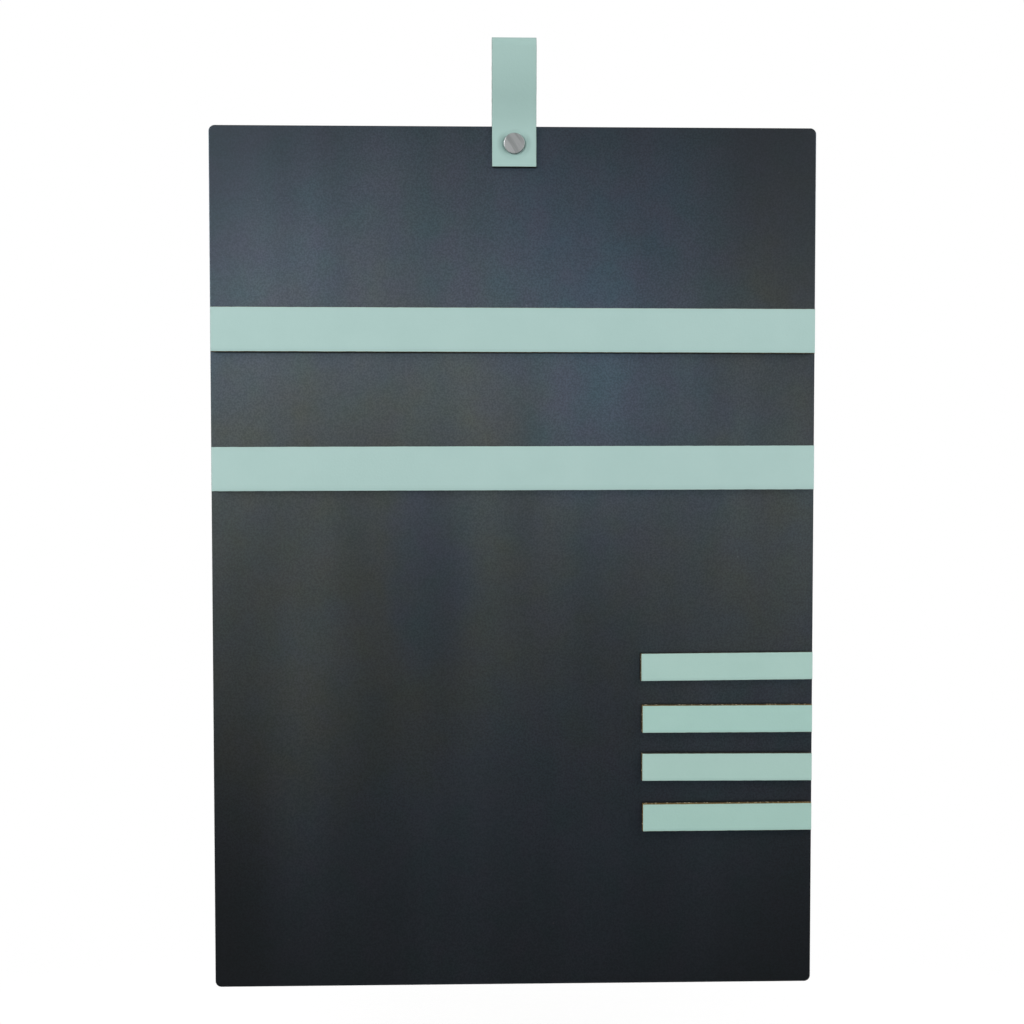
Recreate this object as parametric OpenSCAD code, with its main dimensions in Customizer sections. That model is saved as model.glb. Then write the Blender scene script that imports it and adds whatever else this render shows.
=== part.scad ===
// Magnetic memo board: a steel sheet hung from a leather loop, with two long and four short leather
// strips that hold to it by the magnetic tape on their backs. Millimetres, X to the right, Y towards
// the wall and Z up. The origin is the centre of the hanging eye, and the sheet's middle plane is y = 0.

/* [Board] */
// Width of the steel sheet
board_w = 350; // [230:1:500]
// Height of the steel sheet
board_h = 500; // [430:1:700]
// Thickness of the steel sheet
board_t = 1.5; // [1:0.1:3]
// Radius of the sheet's corners
board_corner_r = 3.5; // [2:0.5:20]

/* [Hanger loop] */
// Width of the loop's leather
hanger_w = 25.5; // [18:0.5:40]
// Thickness of the loop's leather
hanger_t = 2.2; // [1.6:0.1:3]
// Inside radius of the fold at the hanging eye
eye_r = 4; // [3:0.5:8]
// Height of the eye's centre above the sheet's top edge
eye_rise = 44.4; // [30:0.1:70]
// Height above the top edge at which the legs start to part
leg_bend_rise = 3; // [1:0.5:8]
// Reach of the two legs below the top edge
hanger_drop = 23.5; // [20:0.5:40]

/* [Screw post] */
// Depth of the post's axis below the top edge
post_drop = 10.2; // [9:0.1:13]
// Diameter of the post's front head
post_head_d = 12; // [9:0.5:16]
// Thickness of the post's front head
post_head_t = 1.1; // [1:0.1:2.5]
// Bevel round the rims of both heads
head_bevel = 0.4; // [0.1:0.1:0.8]
// Outside diameter of the post's barrel
barrel_d = 5; // [4.5:0.1:6]
// Length by which the barrel stops short of the back leg's outer face
barrel_short = 0.4; // [0.2:0.1:1]
// Wall left at the closed end of the barrel's bore
bore_end_wall = 0.8; // [0.4:0.1:1.5]
// Diameter of the screw's shank
shank_d = 3.8; // [3:0.1:4]
// Clear length at the end of the barrel's bore, past the shank
shank_end_room = 0.5; // [0.2:0.1:1]
// Diameter of the screw's back head
screw_head_d = 12; // [8:0.5:15]
// Thickness of the screw's back head
screw_head_t = 1.6; // [1:0.1:2.5]
// Width of the slot in the screw's head
slot_w = 1.2; // [0.6:0.1:2]
// Depth of the slot in the screw's head
slot_depth = 0.7; // [0.4:0.1:0.9]

/* [Long strips] */
// Width of the two long strips
long_strip_w = 25.5; // [15:0.5:40]
// Depth of the upper long strip's middle below the top edge
upper_strip_drop = 117; // [110:1:130]
// Depth of the lower long strip's middle below the top edge
lower_strip_drop = 196.5; // [185:0.5:210]

/* [Short strips] */
// Length of the short strips
short_strip_l = 100; // [40:1:150]
// Width of the short strips
short_strip_w = 16; // [10:0.5:22]
// Depth of the first short strip's middle below the top edge
short_first_drop = 312; // [300:1:320]
// Distance from one short strip to the next
short_pitch = 29.5; // [25:0.5:36]
// Distance by which the second short strip sits below its even place
second_short_slip = 1.2; // [0:0.1:3]

/* [Leather and magnetic tape] */
// Thickness of the strips' leather
strip_t = 2.4; // [1:0.1:3.5]
// Distance of the strips' ends from the sheet's side edges
strip_end_inset = 1.1; // [0:0.1:10]
// Thickness of the magnetic tape on the strips' backs
tape_t = 2.5; // [0.5:0.1:4]
// Distance of the tape from the ends of its strip
tape_end_inset = 4; // [1:0.5:10]
// Distance of the tape from the long sides of its strip
tape_side_inset = 3; // [1:0.5:4]

/* [Clearances] */
// Gap between pieces that seat on each other
seat_gap = 0.05; // [0.02:0.01:0.1]
// Radial running gap of the barrel in the sheet
run_gap = 0.05; // [0.02:0.01:0.1]
// Gap between the loop's legs and the sheet they turn on
leg_gap = 0.1; // [0.05:0.01:0.3]
// Gap between the magnetic tape and the sheet
tape_gap = 0.1; // [0.05:0.01:0.3]

/* [Hidden] */
$fn = 96;
short_count = 4;
short_numbers = [1 : short_count];

// Colours
steel_colour = "#4d565d";
leather_colour = "#aecdc7";
fastener_colour = "#9a9fa1";
tape_colour = "#2e2f32";

// Board
half_w = board_w / 2;
face_y = board_t / 2;
top_z = -eye_rise;

// Hanger: the legs' inner and outer faces, and the angle at which they part
leg_in = face_y + leg_gap;
leg_out = leg_in + hanger_t;
leg_bend_z = top_z + leg_bend_rise;
leg_end_z = top_z - hanger_drop;
leg_lean = asin(eye_r / norm([leg_in, leg_bend_z])) - atan2(leg_in, -leg_bend_z);
eye_out_r = eye_r + hanger_t;

// Screw post
post_z = top_z - post_drop;
head_seat_y = leg_out + seat_gap;
barrel_end_y = leg_out - barrel_short;
bore_end_y = -head_seat_y + bore_end_wall;
shank_end_y = bore_end_y + shank_end_room;
bore_d = shank_d + 2 * seat_gap;

// Strips: the sheet's side of the tape and of the leather, and the right-hand ends
tape_y = -(face_y + tape_gap);
strip_y = tape_y - tape_t - seat_gap;
strip_end_x = half_w - strip_end_inset;
upper_strip_z = top_z - upper_strip_drop;
lower_strip_z = top_z - lower_strip_drop;

// Length by which a cut runs past what it cuts, and the steps of an arc drawn by points
past = 1;
arc_steps = 48;

function short_z(n) =
    top_z - short_first_drop - (n - 1) * short_pitch - (n == 2 ? second_short_slip : 0);

// Points along an arc about the origin, from one angle to another
function arc_points(r, from, to) = [
    for (i = [0 : arc_steps])
        let (angle = from + (to - from) * i / arc_steps)
            r * [cos(angle), sin(angle)]
];

// A rectangle from one corner to the other with true arcs at its corners
module rounded_rect(low, high, r) {
    size = high - low;
    translate([low.x + r, low.y]) square([size.x - 2 * r, size.y]);
    for (x = [low.x, high.x - r])
        translate([x, low.y + r]) square([r, size.y - 2 * r]);
    for (right = [0, 1], up = [0, 1])
        translate([right ? high.x - r : low.x + r, up ? high.y - r : low.y + r])
            intersection() {
                circle(r);
                translate([right ? 0 : -r, up ? 0 : -r]) square(r);
            }
}

// A rod along Y between two depths, on the axis through x and z
module rod(x, y0, y1, z, d) {
    translate([x, y0, z]) rotate([-90, 0, 0]) cylinder(d = d, h = y1 - y0);
}

// A round head along Y, from its seat at y outwards in the direction dir, with a bevelled rim
module head(x, y, z, dir, d, t, bevel) {
    translate([x, y, z]) rotate([-90 * dir, 0, 0]) {
        cylinder(d = d, h = t - bevel);
        translate([0, 0, t - bevel]) cylinder(d1 = d, d2 = d - 2 * bevel, h = bevel);
    }
}

// The steel sheet, with the hole that the hanger's barrel turns in
module board() {
    color(steel_colour)
        difference() {
            rotate([90, 0, 0]) linear_extrude(board_t, center = true)
                rounded_rect([-half_w, top_z - board_h], [half_w, top_z], board_corner_r);
            rod(0, -face_y - past, face_y + past, post_z, barrel_d + 2 * run_gap);
        }
}

// The loop's outline in the plane of Y and Z: up the front leg, over the eye and down the back
module loop_profile() {
    out_bend_z = leg_bend_z - hanger_t * tan(leg_lean / 2);
    polygon(concat(
        [[-leg_out, leg_end_z], [-leg_out, out_bend_z]],
        arc_points(eye_out_r, 180 + leg_lean, -leg_lean),
        [[leg_out, out_bend_z], [leg_out, leg_end_z]],
        [[leg_in, leg_end_z], [leg_in, leg_bend_z]],
        arc_points(eye_r, -leg_lean, 180 + leg_lean),
        [[-leg_in, leg_bend_z], [-leg_in, leg_end_z]]
    ));
}

// The leather hanging loop, folded over the eye with a leg on each face of the sheet
module hanger_loop() {
    color(leather_colour)
        difference() {
            rotate([90, 0, 90]) linear_extrude(hanger_w, center = true) loop_profile();
            rod(0, -leg_out - past, leg_out + past, post_z, barrel_d + 2 * seat_gap);
        }
}

// The post: a flat front head and a barrel with a blind bore, through both legs and the sheet
module hanger_post() {
    color(fastener_colour)
        difference() {
            union() {
                head(0, -head_seat_y, post_z, -1, post_head_d, post_head_t, head_bevel);
                rod(0, -head_seat_y, barrel_end_y, post_z, barrel_d);
            }
            rod(0, bore_end_y, barrel_end_y + past, post_z, bore_d);
        }
}

// The screw: a slotted back head and a shank in the post's bore
module hanger_screw() {
    head_out_y = head_seat_y + screw_head_t;
    color(fastener_colour)
        difference() {
            union() {
                head(0, head_seat_y, post_z, 1, screw_head_d, screw_head_t, head_bevel);
                rod(0, shank_end_y, head_seat_y, post_z, shank_d);
            }
            translate([-screw_head_d, head_out_y - slot_depth, post_z - slot_w / 2])
                cube([2 * screw_head_d, slot_depth + past, slot_w]);
        }
}

// A flat bar on the sheet's front, from x0 to x1, with its sheet side at y and its middle at z
module bar(x0, x1, y, z, t, w) {
    translate([x0, y - t, z - w / 2]) cube([x1 - x0, t, w]);
}

// The leather of a strip of length l and width w whose right-hand end is at the sheet's edge
module strip(z, l, w) {
    color(leather_colour) bar(strip_end_x - l, strip_end_x, strip_y, z, strip_t, w);
}

// The magnetic tape on the back of such a strip
module strip_tape(z, l, w) {
    x0 = strip_end_x - l + tape_end_inset;
    x1 = strip_end_x - tape_end_inset;
    color(tape_colour) bar(x0, x1, tape_y, z, tape_t, w - 2 * tape_side_inset);
}

// What follows is drawn for one node, or for all of them
board();
hanger_loop();
hanger_post();
hanger_screw();
strip(upper_strip_z, 2 * strip_end_x, long_strip_w);  // upper_strip
strip_tape(upper_strip_z, 2 * strip_end_x, long_strip_w);  // upper_strip_tape
strip(lower_strip_z, 2 * strip_end_x, long_strip_w);  // lower_strip
strip_tape(lower_strip_z, 2 * strip_end_x, long_strip_w);  // lower_strip_tape
for (n = short_numbers) {
    strip(short_z(n), short_strip_l, short_strip_w);
    strip_tape(short_z(n), short_strip_l, short_strip_w);
}
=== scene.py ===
"""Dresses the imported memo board: a blued steel sheet on a leather loop, with magnetic leather strips.

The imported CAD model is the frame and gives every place. Each operator adds one piece, or a group of
like pieces, as numpy surfaces in metres: X to the right, Y towards the wall and Z up.
"""

import math

import bmesh
import bpy
import numpy as np
from bpy.props import FloatProperty, FloatVectorProperty, PointerProperty
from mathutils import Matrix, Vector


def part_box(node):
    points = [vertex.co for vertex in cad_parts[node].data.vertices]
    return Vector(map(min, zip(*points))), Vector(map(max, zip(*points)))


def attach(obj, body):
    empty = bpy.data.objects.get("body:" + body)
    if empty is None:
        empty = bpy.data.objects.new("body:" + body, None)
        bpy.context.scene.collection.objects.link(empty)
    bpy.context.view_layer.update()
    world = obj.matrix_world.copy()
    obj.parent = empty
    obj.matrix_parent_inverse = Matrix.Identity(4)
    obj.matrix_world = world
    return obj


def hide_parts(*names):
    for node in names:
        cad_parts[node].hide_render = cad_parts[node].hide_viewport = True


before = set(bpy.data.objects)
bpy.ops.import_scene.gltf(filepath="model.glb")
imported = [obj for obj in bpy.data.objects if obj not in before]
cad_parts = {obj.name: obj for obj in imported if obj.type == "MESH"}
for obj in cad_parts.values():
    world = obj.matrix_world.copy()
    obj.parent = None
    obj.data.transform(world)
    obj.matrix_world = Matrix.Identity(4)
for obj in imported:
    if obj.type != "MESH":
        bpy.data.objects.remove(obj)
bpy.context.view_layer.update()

bl_info = {
    "name": "Memo board dressing",
    "version": (1, 0, 0),
    "blender": (4, 5, 0),
    "location": "3D View > Sidebar > Memo board",
    "description": "Makes the memo board's sheet, leather, fastener, magnetic tapes and studio",
    "category": "Add Mesh",
}

MM = 0.001
QUARTER = math.pi / 2
FULL_TURN = 2.0 * math.pi

# Distance at which doubled points merge, angle past which an edge stays sharp, and a path's turn per step
MERGE_REACH = 0.002 * MM
SHARP_ANGLE = math.radians(35.0)
TURN_STEP = math.radians(6.0)


def node_box(node):
    """Lowest and highest corner of a CAD node as two arrays."""
    low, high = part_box(node)
    return np.array(low), np.array(high)


SHEET_LOW, SHEET_HIGH = node_box("board")
SHEET_MIDDLE = (0.0, 0.0, (SHEET_LOW[2] + SHEET_HIGH[2]) / 2)
LOOP_LOW, LOOP_HIGH = node_box("hanger_loop")
POST_LOW, POST_HIGH = node_box("hanger_post")
SCREW_LOW, SCREW_HIGH = node_box("hanger_screw")
POST_Z = (POST_LOW[2] + POST_HIGH[2]) / 2

# Material places of a leather strip: its finished face, its knife cuts and its rough inner side
GRAIN, CUT, FLESH = 0, 1, 2

# Share of a cut's rounding that the finish covers, and how much of it a raw cut loses
FINISH_WRAP = 0.30
RAW_LOSS = 0.26

# Deeper tone along the cuts, and how far in from them it reaches
CUT_SHADE = 0.12
CUT_SHADE_REACH = 2.2 * MM

# Seeds of the unevenness of the cuts: the loop's, and the first long and the first short strip's
LOOP_SEED, LONG_SEED, SHORT_SEED = 11, 21, 41

# The loop's dye lot and the bare share of its cuts, and the long strips' dye lot
LOOP_TINT = (0.905, 0.918, 0.908)
LOOP_RAW = 0.1
LONG_TINT = (1.0, 1.0, 1.0)

# Each long strip's bare share of the cuts, and its tilt from end to end
LONG_STRIPS = {"upper_strip": (0.5, -0.55 * MM), "lower_strip": (0.1, 0.8 * MM)}

# Each short strip's dye lot, bare share of the cuts, tilt, trim of the left end and added bare share there
SHORT_STRIPS = {
    "short_strip_1": ((0.977, 1.012, 0.972), 0.1, 0.65 * MM, 0.0, 0.6),
    "short_strip_2": ((0.928, 1.005, 0.959), 0.85, 0.0, 0.8 * MM, 0.2),
    "short_strip_3": ((0.963, 0.996, 0.953), 0.15, -0.3 * MM, 0.7 * MM, 0.5),
    "short_strip_4": ((0.909, 0.978, 0.926), 1.0, 0.25 * MM, 1.2 * MM, 0.0),
}


def length_of(label, note, millimetres):
    """A length that a user may change, given in millimetres and kept in metres."""
    return FloatProperty(
        name=label, description=note, default=millimetres * MM, min=0.0, unit="LENGTH", precision=5
    )


def colour_of(label, note, red, green, blue):
    """A linear colour that a user may change."""
    return FloatVectorProperty(
        name=label, description=note, subtype="COLOR", size=3, min=0.0, max=1.0,
        default=(red, green, blue),
    )


class MemoBoardSizes(bpy.types.PropertyGroup):
    """Lengths that the CAD boxes don't give."""

    sheet_corner: length_of("Sheet corner", "Radius of the steel sheet's corners", 3.5)
    sheet_rim: length_of("Sheet rim", "Rounding of the steel sheet's edges", 0.3)
    post_hole: length_of("Post hole", "Diameter of the holes that the post goes through", 5.1)
    post_head: length_of("Post head", "Thickness of the post's front head", 1.1)
    screw_head: length_of("Screw head", "Thickness of the screw's back head", 1.6)
    head_bevel: length_of("Head bevel", "Bevel round the two heads", 0.24)
    loop_thick: length_of("Loop thickness", "Thickness of the hanging loop's leather", 2.2)
    loop_gap: length_of("Loop gap", "Gap between the loop's legs and the sheet", 0.1)
    loop_rise: length_of("Loop rise", "Height above the sheet at which the legs sway apart", 1.0)
    loop_sway: length_of("Loop sway", "Radius of the two bends by which a leg sways out", 72.0)
    loop_flare: length_of("Loop flare", "Lift of the legs' ends off the sheet", 1.0)
    loop_dish: length_of("Loop dish", "Rise of the leather round the heads", 0.55)
    loop_press: length_of("Loop press", "Depth by which the heads press the leather", 0.25)
    strip_bow: length_of("Strip bow", "Bow of the long strips away from the sheet", 0.25)
    cut_round: length_of("Cut rounding", "Rounding of the leather's cut edges", 0.28)
    cut_slant: length_of("Cut slant", "Slant of the rawest knife cuts through the leather", 0.4)
    end_lean: length_of("End lean", "Lean of the short strips' left ends through the leather", 0.4)
    cut_ravel: length_of("Cut unevenness", "Unevenness of the leather's cut edges", 0.035)
    tape_corner: length_of("Tape corner", "Radius of the magnetic tapes' corners", 0.6)
    tape_rim: length_of("Tape rim", "Rounding of the magnetic tapes' edges", 0.3)


class MemoBoardColours(bpy.types.PropertyGroup):
    """Base colours of the finishes."""

    mint: colour_of("Mint", "Finished face of the leather", 0.444, 0.641, 0.606)
    mint_pale: colour_of("Pale mint", "Paler clouds in the leather's finish", 0.469, 0.667, 0.632)
    # Deep mint: the pores, a deeper tone along the cuts, and painted shade round the loop's heads and on its
    # bent legs
    mint_pores_edges_and_shade: colour_of("Deep mint", "Pores, and the finish where it is worked", 0.285, 0.435, 0.405)
    tan: colour_of("Tan", "Leather's cut edges", 0.310, 0.215, 0.070)
    tan_dark: colour_of("Dark tan", "Burnished spots on the cut edges", 0.070, 0.045, 0.020)
    cream: colour_of("Cream", "Loose fibres on the cut edges", 0.620, 0.540, 0.360)
    # Near-black colour of the cuts where they aren't bare
    cut_near_black: colour_of("Dyed cut", "Cut edges that the dye has darkened", 0.060, 0.066, 0.050)
    suede: colour_of("Suede", "Leather's rough inner side", 0.300, 0.225, 0.140)
    suede_dark: colour_of("Dark suede", "Shaded nap of the inner side", 0.190, 0.135, 0.080)
    steel_blue: colour_of("Steel blue", "Main tone of the blued steel", 0.045, 0.073, 0.106)
    steel_olive: colour_of("Steel olive", "Warmer clouds in the steel", 0.064, 0.0735, 0.066)
    steel_teal: colour_of("Steel teal", "Greener clouds in the steel", 0.041, 0.077, 0.096)
    steel_violet: colour_of("Steel violet", "Violet clouds in the steel", 0.061, 0.067, 0.102)
    # Darker steel towards the sheet's corners
    steel_corner_dark: colour_of("Deep steel", "Blueing towards the sheet's corners", 0.024, 0.034, 0.044)
    steel_bare: colour_of("Bare steel", "Specks in the blueing", 0.300, 0.330, 0.350)
    nickel: colour_of("Nickel", "Fasteners' plating", 0.570, 0.588, 0.592)
    nickel_dull: colour_of("Dull nickel", "Duller strokes in the fasteners' plating", 0.420, 0.440, 0.443)
    tape: colour_of("Tape", "Magnetic tape", 0.022, 0.022, 0.024)
    tape_pale: colour_of("Pale tape", "Rubbed spots of the magnetic tape", 0.055, 0.054, 0.054)
    floor: colour_of("Floor", "Studio floor", 0.800, 0.800, 0.790)
    floor_pale: colour_of("Pale floor", "Paler clouds on the studio floor", 0.830, 0.830, 0.825)


def smoothstep(low, high, value):
    """0 below low, 1 above high, and 3t^2 - 2t^3 of the share t between them."""
    share = np.clip((value - low) / (high - low), 0.0, 1.0)
    return share * share * (3.0 - 2.0 * share)


def oblong_ring(low, high, corner, inset, arc_steps, top_steps, side_steps):
    """Points round an oblong with round corners, drawn in by an inset.

    Each corner is a quarter circle of radius corner - inset round a fixed centre, and each straight
    edge is shared out evenly between the ends of its two arcs.
    """
    low = np.asarray(low, float) + corner
    high = np.asarray(high, float) - corner
    centres = np.array([high, (low[0], high[1]), low, (high[0], low[1])])
    angles = np.arange(4)[:, None] * QUARTER + np.linspace(0.0, QUARTER, arc_steps + 1)
    rim = (corner - inset) * np.stack([np.cos(angles), np.sin(angles)], axis=-1)
    arcs = centres[:, None, :] + rim
    following = np.roll(arcs[:, 0], -1, axis=0)
    pieces = []
    for index, steps in enumerate((top_steps, side_steps, top_steps, side_steps)):
        share = np.linspace(0.0, 1.0, steps + 1)[1:-1, None]
        edge = arcs[index, -1] * (1.0 - share) + following[index] * share
        pieces += [arcs[index], edge]
    return np.concatenate(pieces)


def rim_steps(low, high, rim, steps):
    """Insets and depths of a rounded rim, from the front face round to the back face.

    At the angle a the front half is drawn in by rim (1 - sin a) at the depth low + rim (1 - cos a),
    and the back half is its mirror image.
    """
    angle = np.linspace(0.0, QUARTER, steps + 1)
    inset = rim * (1.0 - np.sin(angle))
    depth = rim * (1.0 - np.cos(angle))
    return np.concatenate([inset, inset[::-1]]), np.concatenate([low + depth, high - depth[::-1]])


def grid_quads(rows, columns, closed_rows=False):
    """Faces of a grid of points whose columns close on themselves, and its rows too if asked."""
    row = np.arange(rows if closed_rows else rows - 1)[:, None]
    column = np.arange(columns)[None, :]
    next_row = (row + 1) % rows
    next_column = (column + 1) % columns
    corners = (
        row * columns + column,
        row * columns + next_column,
        next_row * columns + next_column,
        next_row * columns + column,
    )
    return np.stack(corners, axis=-1).reshape(-1, 4)


def capped_faces(rows, columns):
    """Faces of a tube of rings, with its first and last ring each closed by one flat face."""
    faces = grid_quads(rows, columns).tolist()
    first = np.arange(columns)
    return faces + [first[::-1].tolist(), (first + (rows - 1) * columns).tolist()]


def route(start, heading, runs, step):
    """Points and headings along a flat path of runs, each a length and the angle that it turns by.

    A run is cut into equal steps, its heading grows evenly, and each point is the one before it
    moved by one chord along the heading at the middle of the step.
    """
    chords = []
    middles = []
    headings = [np.array([heading])]
    for length, turn in runs:
        count = max(1, math.ceil(length / step), math.ceil(abs(turn) / TURN_STEP))
        bend = turn / count
        chords.append(np.full(count, length / count * np.sinc(bend / FULL_TURN)))
        middles.append(heading + bend * (np.arange(count) + 0.5))
        headings.append(heading + bend * np.arange(1, count + 1))
        heading += turn
    chord = np.concatenate(chords)[:, None]
    middle = np.concatenate(middles)
    moves = chord * np.stack([np.cos(middle), np.sin(middle)], axis=1)
    points = np.vstack([np.zeros((1, 2)), np.cumsum(moves, axis=0)]) + np.asarray(start)
    return points, np.concatenate(headings)


def left_of(headings):
    """Unit vectors to the left of the headings of a flat path."""
    return np.stack([-np.sin(headings), np.cos(headings)], axis=1)


def ravel(count, amount, seed):
    """Unevenness of a strip's two knife cuts: 0.6 of finely and 0.4 of broadly smoothed seeded noise."""
    fine, broad = 3, 31
    draws = np.random.default_rng(seed).normal(size=(4, count))
    widths = (fine, fine, broad, broad)
    rows = [np.convolve(row, np.ones(w) / math.sqrt(w), "same") for row, w in zip(draws, widths)]
    return amount * (0.6 * np.stack(rows[:2]) + 0.4 * np.stack(rows[2:]))


def strip_section(width, thickness, corner, columns, raw):
    """Closed cross-section of a cut strip as (across, out) pairs, and the material place of each side.

    It is an oblong with small round corners. Sides near the outer face are grain, sides near the
    inner face are flesh, and the rest are cut edge, which takes up more of the corners the rawer it is.
    """
    low = (-width / 2, -thickness / 2)
    high = (width / 2, thickness / 2)
    ring = oblong_ring(low, high, corner, inset=0.0, arc_steps=4, top_steps=columns, side_steps=3)
    out = (ring[:, 1] + np.roll(ring[:, 1], -1)) / 2
    edge = thickness / 2 - (FINISH_WRAP - RAW_LOSS * raw) * corner
    return ring, np.where(out > edge, GRAIN, np.where(out < -edge, FLESH, CUT))


def rounded_corners(points, radius, steps):
    """A broken line with each inner corner rounded by a parabola between points radius away from it.

    The parabola is (1 - t)^2 a + 2 t (1 - t) c + t^2 b for the corner c and its neighbours a and b,
    which lie on the line's sides, at most at 0.45 of the shorter one.
    """
    points = np.asarray(points, float)
    corner = points[1:-1]
    back = points[:-2] - corner
    ahead = points[2:] - corner
    back_length = np.linalg.norm(back, axis=1, keepdims=True)
    ahead_length = np.linalg.norm(ahead, axis=1, keepdims=True)
    reach = np.minimum(radius, 0.45 * np.minimum(back_length, ahead_length))
    start = (corner + back / back_length * reach)[:, None, :]
    end = (corner + ahead / ahead_length * reach)[:, None, :]
    t = np.linspace(0.0, 1.0, steps + 1)[None, :, None]
    curve = (1 - t) ** 2 * start + 2 * t * (1 - t) * corner[:, None, :] + t**2 * end
    return np.vstack([points[:1], curve.reshape(-1, 2), points[-1:]])


def turned(profile, x, z, steps=96):
    """Points and faces of a profile turned about an axis along Y.

    The profile point (r, y) gives the circle (x + r cos a, y, z + r sin a). The first and the last
    point lie on the axis: each is a single pole, closed by triangles.
    """
    angle = np.linspace(0.0, FULL_TURN, steps, endpoint=False)
    inner = profile[1:-1]
    radius = inner[:, :1]
    rings = np.stack(
        [x + radius * np.cos(angle), np.repeat(inner[:, 1:], steps, axis=1), z + radius * np.sin(angle)],
        axis=-1,
    ).reshape(-1, 3)
    poles = np.array([(x, profile[0, 1], z), (x, profile[-1, 1], z)])
    points = np.vstack([rings, poles])
    around = np.arange(steps)
    ahead = (around + 1) % steps
    last = (len(inner) - 1) * steps
    first_fan = np.stack([ahead, around, np.full(steps, len(rings))], axis=1)
    last_fan = np.stack([last + around, last + ahead, np.full(steps, len(rings) + 1)], axis=1)
    faces = grid_quads(len(inner), steps).tolist() + first_fan.tolist() + last_fan.tolist()
    return points, faces


def rod(x, z, low, high, diameter):
    """Points and faces of a round cutting tool along Y."""
    profile = np.array([(0.0, low), (diameter / 2, low), (diameter / 2, high), (0.0, high)])
    return turned(profile, x, z, steps=48)


def slab(low, high, corner, rim):
    """Points and faces of a flat bar: an oblong in X and Z, carried round a rounded rim along Y."""
    flat = [0, 2]
    insets, depths = rim_steps(low[1], high[1], rim, steps=4)
    rings = []
    for inset, depth in zip(insets, depths):
        ring = oblong_ring(low[flat], high[flat], corner, inset, arc_steps=6, top_steps=4, side_steps=4)
        rings.append(np.insert(ring, 1, depth, axis=1))
    return np.concatenate(rings), capped_faces(len(rings), len(rings[0]))


def smooth_mesh(mesh):
    """Smooth shading, kept sharp where two faces meet at more than the sharp angle."""
    mesh.polygons.foreach_set("use_smooth", np.ones(len(mesh.polygons), bool))
    mesh.set_sharp_from_angle(angle=SHARP_ANGLE)


def new_mesh(name, points, faces, finishes, places=None):
    """A closed mesh of the points and faces, outward facing, smooth but for its sharp edges."""
    mesh = bpy.data.meshes.new(name)
    mesh.from_pydata(np.asarray(points).reshape(-1, 3).tolist(), [], faces)
    for finish in finishes:
        mesh.materials.append(finish)
    if places is not None:
        mesh.polygons.foreach_set("material_index", np.asarray(places, np.int32))
    shell = bmesh.new()
    shell.from_mesh(mesh)
    bmesh.ops.recalc_face_normals(shell, faces=shell.faces)
    shell.to_mesh(mesh)
    shell.free()
    smooth_mesh(mesh)
    return mesh


def new_piece(name, mesh):
    """A piece at the origin, with its place in its mesh."""
    piece = bpy.data.objects.new(name, mesh)
    bpy.context.scene.collection.objects.link(piece)
    return piece


def cut_away(piece, points, faces):
    """Cuts a closed tool out of a piece with an exact Boolean, and merges the points that it doubles."""
    tool = bpy.data.objects.new("cutting_tool", new_mesh("cutting_tool", points, faces, []))
    bpy.context.scene.collection.objects.link(tool)
    cut = piece.modifiers.new("cut", "BOOLEAN")
    cut.operation = "DIFFERENCE"
    cut.solver = "EXACT"
    cut.object = tool
    depsgraph = bpy.context.evaluated_depsgraph_get()
    result = bpy.data.meshes.new_from_object(piece.evaluated_get(depsgraph))
    whole = piece.data
    piece.modifiers.clear()
    piece.data = result
    result.name = piece.name
    bpy.data.meshes.remove(whole)
    bpy.data.meshes.remove(tool.data)
    if len(result.polygons) == 0:
        raise RuntimeError(f"the cut left nothing of {piece.name}")
    shell = bmesh.new()
    shell.from_mesh(result)
    bmesh.ops.remove_doubles(shell, verts=shell.verts, dist=MERGE_REACH)
    bmesh.ops.dissolve_degenerate(shell, edges=shell.edges, dist=MERGE_REACH)
    shell.to_mesh(result)
    shell.free()
    smooth_mesh(result)


def mark_points(mesh, name, values):
    """Keeps one value for each point of a mesh, for a material to read."""
    mesh.attributes.new(name, "FLOAT", "POINT").data.foreach_set("value", values)


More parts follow.
